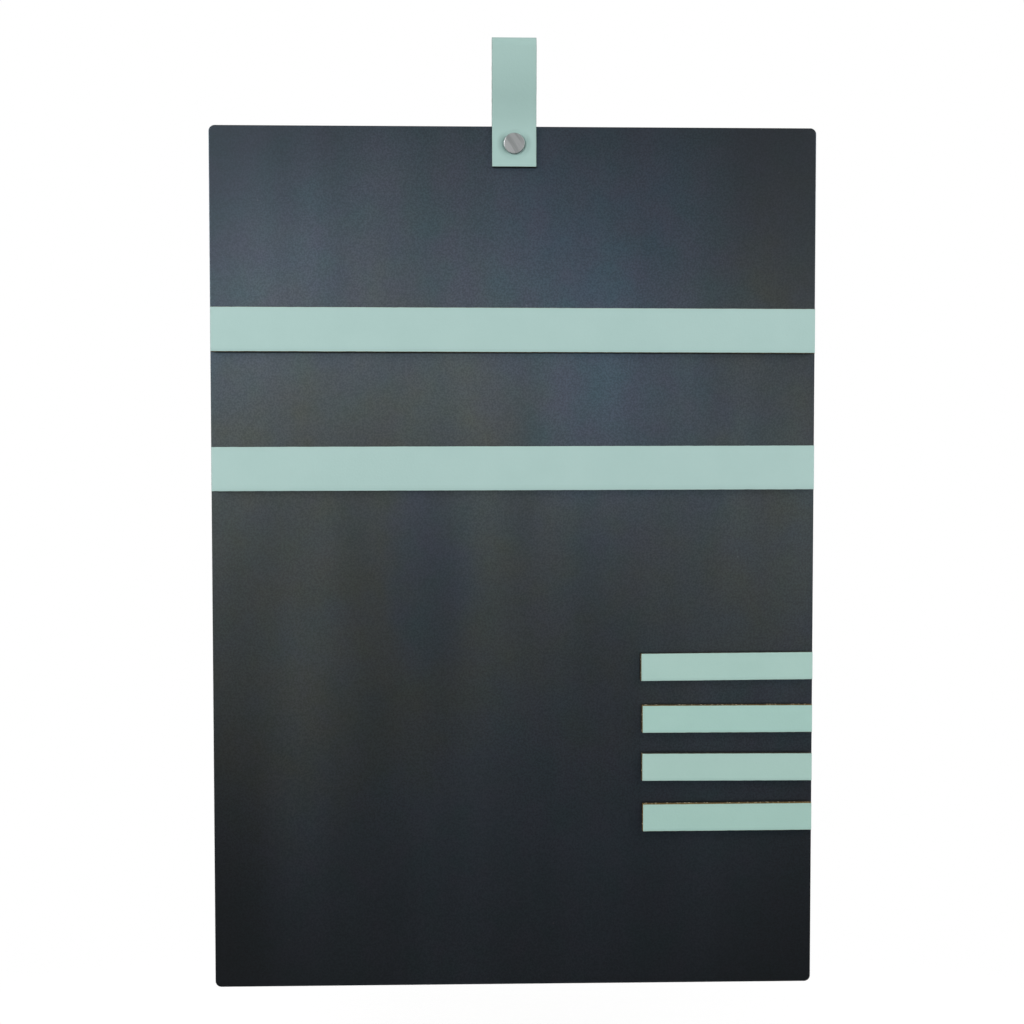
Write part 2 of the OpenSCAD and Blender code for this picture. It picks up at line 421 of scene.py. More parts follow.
def leather_strip(
    name, centre, outward, width_axis, width, thickness, seed, tint, raw,
    slant=0.0, end=(0.0, 0.0), columns=8, form=None,
):
    """A strip of cut leather along a path.

    The point of the section at (across, out) is centre + across * width axis + out * outward. The
    cut sides also move across by their own unevenness, and by the knife's slant at the inner side. The
    form, if given, moves the finished face and paints shade into its colour. The tint multiplies the
    finish, and raw is the share of bare tan on the cuts. The first end leans out at the inner side by a
    length, and has more bare tan by a share.
    """
    sizes = bpy.context.scene.memo_sizes
    ring, zone = strip_section(width, thickness, sizes.cut_round, columns, raw)
    count = len(centre)
    uneven = ravel(count, sizes.cut_ravel, seed)
    side = np.abs(ring[:, 0])
    below = 0.5 - ring[:, 1] / thickness
    pull = smoothstep(width / 2 - 4 * sizes.cut_round, width / 2 - sizes.cut_round, side)
    shift = np.where(ring[:, 0] > 0, uneven[0][:, None], -uneven[1][:, None]) * pull
    across = (ring[:, 0] + shift + slant * below)[:, :, None]
    out = np.repeat(ring[None, :, 1:], count, axis=0)
    points = centre[:, None, :] + across * np.asarray(width_axis)
    shade = CUT_SHADE * smoothstep(width / 2 - CUT_SHADE_REACH, width / 2, side)[None, :] ** 2
    deep_and_painted_shade = np.repeat(shade, count, axis=0)
    if form is not None:
        # The form also gives painted shade, which joins the cuts' deeper tone
        move, form_painted_shade = form(points)
        out = out + move * smoothstep(-thickness / 2, thickness / 2, out)
        deep_and_painted_shade = np.maximum(deep_and_painted_shade, form_painted_shade[..., 0])
    points = points + out * outward[:, None, :]
    lean, end_raw = end
    along = (centre[0] - centre[1]) / np.linalg.norm(centre[0] - centre[1])
    points[0] += lean * below[:, None] * along
    faces = capped_faces(count, len(ring))
    places = np.concatenate([np.tile(zone, count - 1), [CUT, CUT]])
    finishes = [finished_leather(), cut_leather(), suede_leather()]
    mesh = new_mesh(name, points, faces, finishes, places)
    bare = np.full(deep_and_painted_shade.size, raw)
    bare[: len(ring)] += end_raw
    mark_points(mesh, "deepening", deep_and_painted_shade.ravel())
    mark_points(mesh, "raw_cut", bare)
    mark_points(mesh, "cut_depth", np.tile(below, count))
    tints = np.tile((*tint, 1.0), deep_and_painted_shade.size)
    mesh.attributes.new("dye_lot", "FLOAT_COLOR", "POINT").data.foreach_set("color", tints)
    return new_piece(name, mesh)


def feed(tree, node, inputs):
    """Links each named input of a shader node to a socket, or gives it a value."""
    for key, value in inputs.items():
        if isinstance(value, bpy.types.NodeSocket):
            tree.links.new(value, node.inputs[key])
        else:
            node.inputs[key].default_value = value


def add(tree, kind, inputs=None, **options):
    """A shader node with its options set and its inputs fed."""
    node = tree.nodes.new(kind)
    for option, value in options.items():
        setattr(node, option, value)
    feed(tree, node, inputs or {})
    return node


def mixed(tree, share, first, second, blend="MIX"):
    """Colour between two colours or sockets, by a share, or blended by the named way."""
    ends = [end if isinstance(end, bpy.types.NodeSocket) else (*end, 1.0) for end in (first, second)]
    inputs = {0: share, 6: ends[0], 7: ends[1]}
    return add(tree, "ShaderNodeMix", inputs, data_type="RGBA", blend_type=blend).outputs[2]


def worked(tree, operation, first, second, clamp=False):
    """Two values put together by the named operation."""
    return add(tree, "ShaderNodeMath", {0: first, 1: second}, operation=operation, use_clamp=clamp).outputs[0]


def times(tree, first, second):
    """Product of two values."""
    return worked(tree, "MULTIPLY", first, second)


def ranged(tree, value, low, high, to_low=0.0, to_high=1.0):
    """A value carried from one range to another with smooth ends."""
    inputs = {"Value": value, "From Min": low, "From Max": high, "To Min": to_low, "To Max": to_high}
    return add(tree, "ShaderNodeMapRange", inputs, interpolation_type="SMOOTHSTEP").outputs[0]


def stretched(tree, vector, stretch, turn=(0.0, 0.0, 0.0)):
    """Coordinates turned, then drawn out along each axis, before a pattern reads them."""
    inputs = {"Vector": vector, "Rotation": turn, "Scale": stretch}
    return add(tree, "ShaderNodeMapping", inputs, vector_type="TEXTURE").outputs[0]


def scaled(tree, vector, factors):
    """Coordinates multiplied along each axis."""
    return add(tree, "ShaderNodeVectorMath", {0: vector, 1: factors}, operation="MULTIPLY").outputs[0]


def distance(tree, vector, centre=(0.0, 0.0, 0.0)):
    """How far coordinates lie from a centre."""
    return add(tree, "ShaderNodeVectorMath", {0: vector, 1: centre}, operation="DISTANCE").outputs["Value"]


def noise(tree, vector, scale, detail, roughness=0.5):
    """Noise with so many swells to the metre and so many finer layers."""
    inputs = {"Vector": vector, "Scale": scale, "Detail": detail, "Roughness": roughness}
    return add(tree, "ShaderNodeTexNoise", inputs).outputs[0]


def marked(tree, name, output="Fac"):
    """A value or colour that a mesh keeps for its points."""
    return add(tree, "ShaderNodeAttribute", attribute_name=name).outputs[output]


def bumped(tree, height, depth, strength, normal=None):
    """Normal of a height with its depth in metres, on top of another normal if given."""
    inputs = {"Height": height, "Distance": depth, "Strength": strength}
    if normal is not None:
        inputs["Normal"] = normal
    return add(tree, "ShaderNodeBump", inputs).outputs[0]


def effect(name, inputs, outputs, build):
    """A shader group made once: named inputs with defaults, named outputs, and the nodes between."""
    if name in bpy.data.node_groups:
        return bpy.data.node_groups[name]
    tree = bpy.data.node_groups.new(name, "ShaderNodeTree")
    tree.interface.new_socket(name="Vector", in_out="INPUT", socket_type="NodeSocketVector")
    for label, default in inputs.items():
        socket = tree.interface.new_socket(name=label, in_out="INPUT", socket_type="NodeSocketFloat")
        socket.default_value = default
    for label in outputs:
        tree.interface.new_socket(name=label, in_out="OUTPUT", socket_type="NodeSocketFloat")
    entry = tree.nodes.new("NodeGroupInput")
    end = tree.nodes.new("NodeGroupOutput")
    feed(tree, end, build(tree, entry.outputs))
    return tree


def placed(tree, group, inputs):
    """A shader group placed in a material with its own values."""
    return add(tree, "ShaderNodeGroup", inputs, node_tree=group).outputs


def soft_clouds():
    """Soft clouds: noise with its contrast raised about the middle."""

    def build(tree, given):
        swell = noise(tree, given["Vector"], given["Scale"], given["Detail"], roughness=0.55)
        raised = times(tree, worked(tree, "SUBTRACT", swell, 0.5), given["Contrast"])
        return {"Mask": worked(tree, "ADD", raised, 0.5, clamp=True)}

    return effect("Soft clouds", {"Scale": 8.0, "Detail": 3.0, "Contrast": 2.0}, ["Mask"], build)


def clouds(tree, vector, scale, detail, contrast):
    """Mask of soft clouds in a material."""
    inputs = {"Vector": vector, "Scale": scale, "Detail": detail, "Contrast": contrast}
    return placed(tree, soft_clouds(), inputs)["Mask"]


def hair_lines():
    """Fine parallel strokes: the height of noise that reads drawn-out coordinates."""

    def build(tree, given):
        return {"Height": noise(tree, given["Vector"], given["Scale"], detail=2.0, roughness=0.7)}

    return effect("Hair lines", {"Scale": 900.0}, ["Height"], build)


def fibres():
    """Loose fibres of raw leather: fine noise over rounded cells."""

    def build(tree, given):
        cells = {"Vector": given["Vector"], "Scale": given["Scale"]}
        knots = add(tree, "ShaderNodeTexVoronoi", cells).outputs["Distance"]
        nap = noise(tree, given["Vector"], given["Scale"], detail=5.0, roughness=0.75)
        height = worked(tree, "ADD", times(tree, knots, 0.5), nap)
        return {"Mask": ranged(tree, nap, 0.36, 0.64), "Height": height}

    return effect("Raw fibres", {"Scale": 1500.0}, ["Mask", "Height"], build)


def finish_of(name, build):
    """A material made once: build gives what feeds the inputs of its Principled shader."""
    if name in bpy.data.materials:
        return bpy.data.materials[name]
    material = bpy.data.materials.new(name)
    material.use_nodes = True
    tree = material.node_tree
    tree.nodes.clear()
    end = tree.nodes.new("ShaderNodeOutputMaterial")
    shader = tree.nodes.new("ShaderNodeBsdfPrincipled")
    tree.links.new(shader.outputs[0], end.inputs["Surface"])
    place = tree.nodes.new("ShaderNodeTexCoord").outputs["Object"]
    feed(tree, shader, build(tree, place, bpy.context.scene.memo_colours))
    return material


# Warmer and cooler patches in the blueing: how far across and up their middles lie, how many times
# wider than high they are, the distances at which they start and end to fade, and the olive they add
STEEL_PATCHES = (
    (-0.165, -0.33, 1.0, 0.03, 0.20, 1.0),
    (-0.09, -0.20, 1.0, 0.03, 0.16, 0.4),
    (-0.015, -0.20, 1.0, 0.01, 0.07, 0.35),
    (0.02, -0.33, 2.0, 0.02, 0.15, 0.6),
    (0.19, -0.16, 1.0, 0.03, 0.14, 0.65),
    (0.16, -0.28, 1.0, 0.02, 0.12, 0.35),
    (0.06, -0.085, 1.0, 0.02, 0.10, -0.25),
    (-0.055, -0.30, 0.5, 0.02, 0.09, -0.9),
)

# Upright streaks in the blueing: how far across and up their middles lie, and their change of tone
STEEL_STREAKS = (
    (-0.120, -0.37, 0.42),
    (-0.106, -0.13, 0.10),
    (-0.045, -0.31, -0.34),
    (-0.075, -0.28, -0.15),
    (0.012, -0.11, 0.12),
    (0.0, -0.28, -0.14),
    (0.051, -0.35, -0.30),
    (0.051, -0.13, 0.14),
    (0.036, -0.19, 0.10),
    (0.103, -0.29, -0.12),
    (0.168, -0.30, 0.22),
    (-0.165, -0.50, -0.40),
    (-0.135, -0.43, 0.15),
)

# Half a streak's width, and how many times higher than wide it is
STREAK_REACH = 36.0 * MM
STREAK_DRAW = 4.0

# Roughness of the blueing: above 0.275 a denoiser takes the grain for colour, and keeps it
STEEL_ROUGHNESS = (0.276, 0.286)


def blued_steel():
    """Waxed blued steel: olive, teal and violet clouds, rolled bands, grain, specks and deeper corners."""

    def build(tree, place, colours):
        olive = times(tree, clouds(tree, place, scale=6.0, detail=3.0, contrast=2.0), 0.4)
        for across, up, wider, near, far, change in STEEL_PATCHES:
            away = distance(tree, stretched(tree, place, (wider, 1.0, 1.0)), (across / wider, 0.0, up))
            olive = worked(tree, "ADD", olive, ranged(tree, away, near, far, change, 0.0))
        base = mixed(tree, olive, colours.steel_blue, colours.steel_olive)

        calm = ranged(tree, olive, 0.5, 1.0, 1.0, 0.5)
        green = clouds(tree, place, scale=31.0, detail=2.0, contrast=3.0)
        small = clouds(tree, place, scale=47.0, detail=2.0, contrast=3.0)
        for mask, share, tint in ((green, 0.6, colours.steel_teal), (small, 0.55, colours.steel_violet)):
            base = mixed(tree, times(tree, times(tree, mask, share), calm), base, tint)

        rolled = stretched(tree, place, (1.0, 1.0, 7.0))
        bands = clouds(tree, rolled, scale=16.0, detail=2.0, contrast=2.4)
        tone = ranged(tree, bands, 0.0, 1.0, 0.92, 1.18)
        drawn = stretched(tree, place, (1.0, 1.0, STREAK_DRAW))
        for across, up, change in STEEL_STREAKS:
            away = distance(tree, drawn, (across, 0.0, up / STREAK_DRAW))
            tone = worked(tree, "ADD", tone, ranged(tree, away, 0.0, STREAK_REACH, change, 0.0))
        grain = clouds(tree, place, scale=1000.0, detail=2.0, contrast=2.5)
        tone = times(tree, tone, ranged(tree, grain, 0.0, 1.0, 0.92, 1.30))
        base = mixed(tree, 1.0, base, tone, "MULTIPLY")

        cells = add(tree, "ShaderNodeTexVoronoi", {"Vector": place, "Scale": 130.0}).outputs
        chosen = worked(tree, "GREATER_THAN", cells["Color"], 0.9)
        speck = ranged(tree, cells["Distance"], 0.03, 0.10, 0.2, 0.0)
        base = mixed(tree, times(tree, chosen, speck), base, colours.steel_bare)

        halves = np.array([SHEET_HIGH[0] - SHEET_LOW[0], np.inf, SHEET_HIGH[2] - SHEET_LOW[2]]) / 2
        outer = distance(tree, scaled(tree, place, 1.0 / halves), SHEET_MIDDLE / halves)
        base = mixed(tree, ranged(tree, outer, 0.95, 1.4, 0.0, 0.6), base, colours.steel_corner_dark)

        waves = bumped(tree, noise(tree, place, scale=14.0, detail=2.0), 0.25 * MM, 1.0)
        grit = noise(tree, place, scale=1300.0, detail=3.0)
        return {
            "Base Color": base,
            "Metallic": 1.0,
            "Roughness": ranged(tree, small, 0.0, 1.0, *STEEL_ROUGHNESS),
            "Coat Weight": 0.6,
            "Coat Roughness": 0.6,
            "Coat IOR": 1.5,
            "Normal": bumped(tree, grit, 0.03 * MM, 0.4, waves),
        }

    return finish_of("blued_steel", build)


def finished_leather():
    """Finished mint leather: pale clouds, pores a millimetre apart, deeper tone by the cuts, painted shade.
    """

    def build(tree, place, colours):
        pale = clouds(tree, place, scale=38.0, detail=4.0, contrast=2.0)
        base = mixed(tree, pale, colours.mint, colours.mint_pale)
        base = mixed(tree, 1.0, base, marked(tree, "dye_lot", "Color"), "MULTIPLY")
        cells = {"Vector": place, "Scale": 950.0, "Smoothness": 0.6}
        pores = add(tree, "ShaderNodeTexVoronoi", cells, feature="SMOOTH_F1").outputs["Distance"]
        folds = noise(tree, place, scale=420.0, detail=3.0)
        pitted = ranged(tree, pores, 0.02, 0.22, 0.17, 0.0)
        # Pores, the deeper tone along the cuts and painted shade on the loop darken the finish towards deep
        # mint
        deep_and_painted_shade = worked(tree, "MAXIMUM", pitted, marked(tree, "deepening"))
        height = worked(tree, "ADD", pores, times(tree, folds, 0.8))
        return {
            "Base Color": mixed(tree, deep_and_painted_shade, base, colours.mint_pores_edges_and_shade),
            "Roughness": ranged(tree, folds, 0.3, 0.7, 0.50, 0.62),
            "Specular IOR Level": 0.35,
            "Normal": bumped(tree, height, 0.06 * MM, 0.6),
        }

    return finish_of("finished_leather", build)


def cut_leather():
    """Knife cut through the leather: tan fibres, dark and flecked with cream towards the inner side.

    The cut is near-black where it isn't bare.
    """

    def build(tree, place, colours):
        raw = placed(tree, fibres(), {"Vector": place, "Scale": 1700.0})
        base = mixed(tree, raw["Mask"], colours.tan_dark, colours.tan)
        inner = ranged(tree, marked(tree, "cut_depth"), 0.35, 0.65)
        base = mixed(tree, times(tree, inner, 0.85), base, colours.tan_dark)
        cells = add(tree, "ShaderNodeTexVoronoi", {"Vector": place, "Scale": 560.0}).outputs["Distance"]
        flecks = times(tree, ranged(tree, cells, 0.25, 0.39, 1.0, 0.0), inner)
        base = mixed(tree, flecks, base, colours.cream)
        return {
            "Base Color": mixed(tree, marked(tree, "raw_cut"), colours.cut_near_black, base),
            "Roughness": ranged(tree, raw["Mask"], 0.0, 1.0, 0.8, 0.95),
            "Specular IOR Level": 0.2,
            "Normal": bumped(tree, raw["Height"], 0.12 * MM, 0.8),
        }

    return finish_of("cut_leather", build)


def suede_leather():
    """Rough inner side of the leather: brushed nap with soft clouds."""

    def build(tree, place, colours):
        nap = placed(tree, fibres(), {"Vector": place, "Scale": 1100.0})
        soft = clouds(tree, place, scale=90.0, detail=4.0, contrast=2.4)
        shade = times(tree, worked(tree, "ADD", nap["Mask"], soft), 0.5)
        return {
            "Base Color": mixed(tree, shade, colours.suede_dark, colours.suede),
            "Roughness": ranged(tree, nap["Mask"], 0.0, 1.0, 0.85, 0.97),
            "Specular IOR Level": 0.15,
            "Sheen Weight": 0.25,
            "Normal": bumped(tree, nap["Height"], 0.1 * MM, 0.7),
        }

    return finish_of("suede_leather", build)


def brushed_nickel():
    """Brushed nickel plating: strokes drawn slantwise across the heads, with dull clouds."""

    def build(tree, place, colours):
        slant = stretched(tree, place, (1.0, 1.0, 14.0), (0.0, math.radians(-32.0), 0.0))
        strokes = placed(tree, hair_lines(), {"Vector": slant, "Scale": 480.0})["Height"]
        dull = clouds(tree, slant, scale=260.0, detail=3.0, contrast=2.5)
        share = worked(tree, "MAXIMUM", ranged(tree, strokes, 0.40, 0.60), times(tree, dull, 0.4))
        return {
            "Base Color": mixed(tree, share, colours.nickel, colours.nickel_dull),
            "Metallic": 1.0,
            "Roughness": ranged(tree, dull, 0.0, 1.0, 0.38, 0.48),
            "Normal": bumped(tree, strokes, 0.02 * MM, 0.4),
        }

    return finish_of("brushed_nickel", build)


def magnetic_tape():
    """Flexible magnetic tape: matt near-black rubber with pale rubbed spots and drawn lines."""

    def build(tree, place, colours):
        rubbed = clouds(tree, place, scale=300.0, detail=4.0, contrast=2.5)
        along = stretched(tree, place, (50.0, 1.0, 1.0))
        lines = placed(tree, hair_lines(), {"Vector": along, "Scale": 800.0})["Height"]
        return {
            "Base Color": mixed(tree, times(tree, rubbed, 0.7), colours.tape, colours.tape_pale),
            "Roughness": ranged(tree, rubbed, 0.0, 1.0, 0.6, 0.8),
            "Normal": bumped(tree, lines, 0.04 * MM, 0.5),
        }

    return finish_of("magnetic_tape", build)


def pale_floor():
    """Pale matt floor that fades out towards its rim."""

    def build(tree, place, colours):
        faint = clouds(tree, place, scale=6.0, detail=4.0, contrast=1.5)
        reach = distance(tree, scaled(tree, place, (1.0, 1.0, 0.0)))
        return {
            "Base Color": mixed(tree, faint, colours.floor, colours.floor_pale),
            "Roughness": 0.9,
            "Alpha": ranged(tree, reach, 0.5, 1.9, 1.0, 0.0),
        }

    return finish_of("pale_floor", build)


class MEMO_OT_steel_sheet(bpy.types.Operator):
    """Makes the steel sheet with its round corners, soft rim and post hole"""

    bl_idname = "memo_board.steel_sheet"
    bl_label = "Steel sheet"

    def execute(self, context):
        """Carries rings from the hole over the front face, round the rim and back over the back face.

        A ring of the faces at the share s is (1 - s) times the hole's ring plus s times the outline. The
        hole's points are evenly spaced, and its topmost point meets the middle of the outline's top.
        """
        sizes = context.scene.memo_sizes
        flat = [0, 2]
        low = SHEET_LOW[flat]
        high = SHEET_HIGH[flat]
        margin = 0.3 * MM
        arc_steps = 12
        top_steps = 28
        side_steps = 40
        face_rings = 15
        crowding = 1.4

        def outline(inset):
            return oblong_ring(low, high, sizes.sheet_corner, inset, arc_steps, top_steps, side_steps)

        centre = np.array([0.0, POST_Z])
        around = np.arange(len(outline(0.0))) - arc_steps - top_steps / 2
        angle = QUARTER + around * FULL_TURN / len(around)
        away = np.stack([np.cos(angle), np.sin(angle)], axis=1)
        share = (np.linspace(0.0, 1.0, face_rings) ** crowding)[:, None, None]
        inner = centre + away * (sizes.post_hole / 2 + margin)
        field = (1.0 - share) * inner + share * outline(sizes.sheet_rim + margin)
        hole = (centre + away * sizes.post_hole / 2)[None]
        face = np.concatenate([hole, field])
        insets, depths = rim_steps(SHEET_LOW[1], SHEET_HIGH[1], sizes.sheet_rim, steps=5)
        rim = np.stack([outline(inset) for inset in insets])
        rings = np.concatenate([face, rim, face[::-1]])
        front = np.full(len(face), SHEET_LOW[1])
        back = np.full(len(face), SHEET_HIGH[1])
        depth = np.concatenate([front, depths, back])
        depth = np.repeat(depth[:, None], rings.shape[1], axis=1)
        points = np.stack([rings[..., 0], depth, rings[..., 1]], axis=-1)
        faces = grid_quads(len(rings), rings.shape[1], closed_rows=True).tolist()
        sheet = new_piece("steel_sheet", new_mesh("steel_sheet", points, faces, [blued_steel()]))
        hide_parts("board")
        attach(sheet, "board")
        return {"FINISHED"}


# Length of a step along the loop's path, and of the flare at the ends of its legs
LOOP_STEP = 0.9 * MM
FLARE_REACH = 9.0 * MM

# Round a head, in its radii: where the leather rises, where the rise fades out, and where its painted shade
# does
RISE_RADII = (0.95, 1.36)
FADE_RADII = (2.0, 4.2)
PAINTED_SHADE_RADII = (1.2, 1.78)

# Slope between beside and above a head, and how much of the rise and of the painted shade is lost right above
# and right below it
BESIDE_SLOPE = (0.2, 0.95)
LOST_ABOVE = 0.92
LOST_BELOW = 0.65

# Painted shade round the heads and on the bent legs, the share of it that fades near the eye, and the heights
# of both
HEAD_PAINTED_SHADE = 0.95
LEG_PAINTED_SHADE = 0.28
EYE_FADE = 0.55
LEG_PAINTED_SHADE_Z = (-52.0 * MM, -38.0 * MM)
EYE_FADE_Z = (-20.0 * MM, 0.0)


def pressed_dish(points):
    """How far the loop's finished face moves out at each point, and how much painted shade darkens it there.

    The leather is pressed in under the heads, and rises round them and fades outwards, most at their left
    and right. Painted shade darkens its colour close to the heads, and on the legs where they sway apart.
    """
    sizes = bpy.context.scene.memo_sizes
    head = (POST_HIGH[0] - POST_LOW[0]) / 2
    reach = np.hypot(points[..., 0], points[..., 2] - POST_Z)[..., None]
    slope = (points[..., 2] - POST_Z)[..., None] / np.maximum(reach, MM)
    lost = LOST_ABOVE * smoothstep(*BESIDE_SLOPE, slope)
    beside = 1.0 - lost - LOST_BELOW * smoothstep(*BESIDE_SLOPE, -slope)
    rise = smoothstep(RISE_RADII[0] * head, RISE_RADII[1] * head, reach)
    faded = 1.0 - smoothstep(FADE_RADII[0] * head, FADE_RADII[1] * head, reach)
    shade = 1.0 - smoothstep(PAINTED_SHADE_RADII[0] * head, PAINTED_SHADE_RADII[1] * head, reach)
    height = points[..., 2:]
    bent = smoothstep(*LEG_PAINTED_SHADE_Z, height) - EYE_FADE * smoothstep(*EYE_FADE_Z, height)
    # Painted shade: the leather's colour darkens round the heads, most at their left and right, and on the
    # bent legs
    tone = np.maximum(HEAD_PAINTED_SHADE * beside * shade, LEG_PAINTED_SHADE * bent)
    return sizes.loop_dish * rise * faded * beside - sizes.loop_press * (1.0 - rise), tone


class MEMO_OT_hanging_loop(bpy.types.Operator):
    """Makes the folded leather hanging loop, with a dish pressed round its fastener"""

    bl_idname = "memo_board.hanging_loop"
    bl_label = "Hanging loop"

    def execute(self, context):
        """Carries the strip up the front leg, round the eye and down the back leg.

        The legs are upright at the sheet, sway out and back upright through two equal bends, and run
        straight into the eye's half circle; their ends lift by a flare that fades out upwards.
        """
        sizes = context.scene.memo_sizes
        thick = sizes.loop_thick
        arc = LOOP_HIGH[2] - thick / 2
        leg = SHEET_HIGH[1] + sizes.loop_gap + thick / 2
        lean = math.acos(1.0 - (arc - leg) / (2.0 * sizes.loop_sway))
        bend = sizes.loop_sway * lean
        parting = SHEET_HIGH[2] + sizes.loop_rise
        straight = -parting - 2.0 * sizes.loop_sway * math.sin(lean)
        up_leg = [(parting - LOOP_LOW[2], 0.0), (bend, lean), (bend, -lean), (straight, 0.0)]
        runs = up_leg + [(arc * math.pi, -math.pi)] + up_leg[::-1]
        flat, headings = route((-leg, LOOP_LOW[2]), QUARTER, runs, LOOP_STEP)
        above_end = flat[:, 1] - LOOP_LOW[2]
        flare = sizes.loop_flare * (1.0 - smoothstep(0.0, FLARE_REACH, above_end))
        flat[:, 0] += np.sign(flat[:, 0]) * flare
        centre = np.insert(flat, 0, 0.0, axis=1)
        outward = np.insert(left_of(headings), 0, 0.0, axis=1)
        width = LOOP_HIGH[0] - LOOP_LOW[0]
        loop = leather_strip(
            "hanging_loop", centre, outward, (1.0, 0.0, 0.0), width, thick, LOOP_SEED, LOOP_TINT, LOOP_RAW,
            columns=34, form=pressed_dish,
        )
        cut_away(loop, *rod(0.0, POST_Z, LOOP_LOW[1], LOOP_HIGH[1], sizes.post_hole))
        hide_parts("hanger_loop")
        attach(loop, "hanger")
        return {"FINISHED"}


# Dome of the heads' faces and softness of the fastener's corners
HEAD_DOME = 0.03 * MM
CORNER_SOFTNESS = 0.22 * MM

# The barrel's gap in its hole, the radius of its bore and the wall at the bore's end
BARREL_GAP = 0.05 * MM
BORE_RADIUS = 1.95 * MM
BORE_END_WALL = 0.8 * MM

# The screw's shank and slot: radius, depth and half the width, and the rounding of the slot's cutter
SHANK_RADIUS = 1.9 * MM
SLOT_DEPTH = 0.7 * MM
SLOT_HALF = 0.6 * MM
CUTTER_CORNER = 0.1 * MM
CUTTER_RIM = 0.05 * MM


def turned_fastener(name, profile):
    """A nickel piece turned about the post's axis from a profile with soft corners."""
    points, faces = turned(rounded_corners(profile, CORNER_SOFTNESS, steps=4), 0.0, POST_Z)
    return new_piece(name, new_mesh(name, points, faces, [brushed_nickel()]))


class MEMO_OT_screw_post(bpy.types.Operator):
    """Makes the post with its flat front head, and the slotted screw behind"""

    bl_idname = "memo_board.screw_post"
    bl_label = "Screw post"

    def execute(self, context):
        """Turns both profiles about the post's axis: faint dome, bevel, rim, seat and shank."""
        sizes = context.scene.memo_sizes
        bevel = sizes.head_bevel
        radius = (POST_HIGH[0] - POST_LOW[0]) / 2
        barrel = sizes.post_hole / 2 - BARREL_GAP
        front = POST_LOW[1]
        barrel_end = POST_HIGH[1]
        seat = front + sizes.post_head
        bore_end = seat + BORE_END_WALL
        post = turned_fastener("screw_post", [
            (0.0, front), (radius - bevel, front + HEAD_DOME), (radius, front + bevel), (radius, seat),
            (barrel, seat), (barrel, barrel_end), (BORE_RADIUS, barrel_end), (BORE_RADIUS, bore_end),
            (0.0, bore_end),
        ])
        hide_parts("hanger_post")
        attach(post, "hanger")

        radius = (SCREW_HIGH[0] - SCREW_LOW[0]) / 2
        back = SCREW_HIGH[1]
        seat = back - sizes.screw_head
        screw = turned_fastener("slotted_screw", [
            (0.0, back), (radius - bevel, back - HEAD_DOME), (radius, back - bevel), (radius, seat),
            (SHANK_RADIUS, seat), (SHANK_RADIUS, SCREW_LOW[1]), (0.0, SCREW_LOW[1]),
        ])
        past = 1.2 * radius
        slot_low = np.array([-past, back - SLOT_DEPTH, POST_Z - SLOT_HALF])
        slot_high = np.array([past, back + bevel, POST_Z + SLOT_HALF])
        cut_away(screw, *slab(slot_low, slot_high, CUTTER_CORNER, CUTTER_RIM))
        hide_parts("hanger_screw")
        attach(screw, "hanger")
        return {"FINISHED"}


def flat_strip(name, seed, tint, raw, slant, bow, tilt, trim=0.0, end=(0.0, 0.0)):
    """Leather of one magnetic strip: a straight path along X that bows away from the sheet.

    The path's depth is the strip's middle minus bow (1 - (2u - 1)^2) at the share u of its length, and
    its height is the strip's middle plus (u - 1/2) times the tilt. Its left end is cut short by the trim,
    and leans out and is bare by the two values of the end. A step is at most a millimetre long.
    """
    low, high = node_box(name)
    low[0] += trim
    size = high - low
    share = np.linspace(0.0, 1.0, math.ceil(size[0] / MM) + 1)
    middle = (low + high) / 2
    lift = bow * (1.0 - (2.0 * share - 1.0) ** 2)
    rise = middle[2] + tilt * (share - 0.5)
    centre = np.stack([low[0] + share * size[0], middle[1] - lift, rise], axis=1)
    outward = np.repeat([(0.0, -1.0, 0.0)], len(centre), axis=0)
    strip = leather_strip(
        name + "_leather", centre, outward, (0.0, 0.0, 1.0), size[2], size[1], seed, tint, raw, slant, end
    )
    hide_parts(name)
    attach(strip, name)


class MEMO_OT_long_strips(bpy.types.Operator):
    """Makes the leather of the two long strips"""

    bl_idname = "memo_board.long_strips"
    bl_label = "Long strips"

    def execute(self, context):
        """Lays each long strip over its node, a little bowed and a little out of level."""
        sizes = context.scene.memo_sizes
        for index, (name, (raw, tilt)) in enumerate(LONG_STRIPS.items()):
            slant = -raw * sizes.cut_slant
            flat_strip(name, LONG_SEED + index, LONG_TINT, raw, slant, sizes.strip_bow, tilt)
        return {"FINISHED"}


class MEMO_OT_short_strips(bpy.types.Operator):
    """Makes the leather of the four short strips"""

    bl_idname = "memo_board.short_strips"
    bl_label = "Short strips"

    def execute(self, context):
        """Lays each short strip over its node, each of its own dye lot and a little out of level."""
        sizes = context.scene.memo_sizes
        for index, (name, (tint, raw, tilt, trim, end_raw)) in enumerate(SHORT_STRIPS.items()):
            slant = raw * sizes.cut_slant
            end = (sizes.end_lean, end_raw)
            flat_strip(name, SHORT_SEED + index, tint, raw, slant, 0.0, tilt, trim, end)
        return {"FINISHED"}


class MEMO_OT_magnetic_tapes(bpy.types.Operator):
    """Makes the magnetic tapes on the strips' backs"""

    bl_idname = "memo_board.magnetic_tapes"
    bl_label = "Magnetic tapes"

    def execute(self, context):
        """Fits a flat bar with round corners and a rounded rim in each tape's place."""
        sizes = context.scene.memo_sizes
        for name in (*LONG_STRIPS, *SHORT_STRIPS):
            low, high = node_box(name + "_tape")
            points, faces = slab(low, high, sizes.tape_corner, sizes.tape_rim)
            mesh = new_mesh(name + "_magnet", points, faces, [magnetic_tape()])
            tape = new_piece(name + "_magnet", mesh)
            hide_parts(name + "_tape")
            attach(tape, name)
        return {"FINISHED"}


